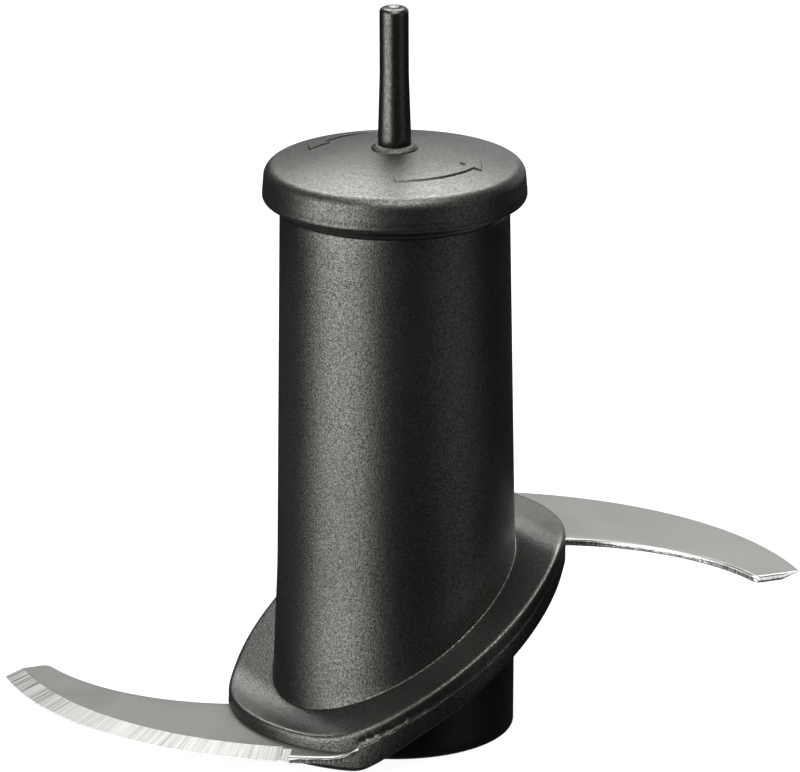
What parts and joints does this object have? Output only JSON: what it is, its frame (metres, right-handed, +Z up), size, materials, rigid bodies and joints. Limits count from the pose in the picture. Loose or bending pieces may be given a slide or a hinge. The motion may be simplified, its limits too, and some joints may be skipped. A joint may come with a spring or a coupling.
{
  "type": "chopping blade insert",
  "caption": "Tall-hub chopping blade insert for a mini food chopper: hooked S-shaped steel blade clamped in a slanted flange, hollow drive hub, domed cap and lid pin.",
  "frame": {"origin": "centre of the hub's flat bottom face, on the axis it spins about", "axes": "+Z up the hub axis towards the lid pin; +X towards the high wing and -X towards the low wing; the bend lines are turned 8 degrees from Y"},
  "size_m": [0.1006, 0.068, 0.1102],
  "materials": {
    "hub_plastic": "fine spark-eroded texture, charcoal black",
    "core_plastic": "smooth moulded, dark grey",
    "blade_steel": "satin sheet with a cross-ground bevel",
    "fastener_steel": "bright turned steel",
    "insert_brass": "machined brass",
    "seal_rubber": "black nitrile",
    "ring_silicone": "red silicone"
  },
  "bodies": {
    "lid_side": {"lid_pin": "hub_plastic", "pin_clip": "fastener_steel"},
    "blade_hub": {"pin_bush": "hub_plastic", "top_cap": "hub_plastic", "cap_seal": "seal_rubber", "upper_hub": "hub_plastic", "lower_hub": "hub_plastic", "chopping_blade": "blade_steel", "drive_core": "core_plastic", "drive_insert": "insert_brass", "spindle_ring": "ring_silicone", "thrust_plate": "fastener_steel", "core_screws": "fastener_steel"}
  },
  "joints": [
    {"name": "blade_spin", "type": "hinge", "parent": "lid_side", "child": "blade_hub", "pos_m": [0, 0, 0.085], "axis": [0, 0, 1], "continuous": true}
  ]
}
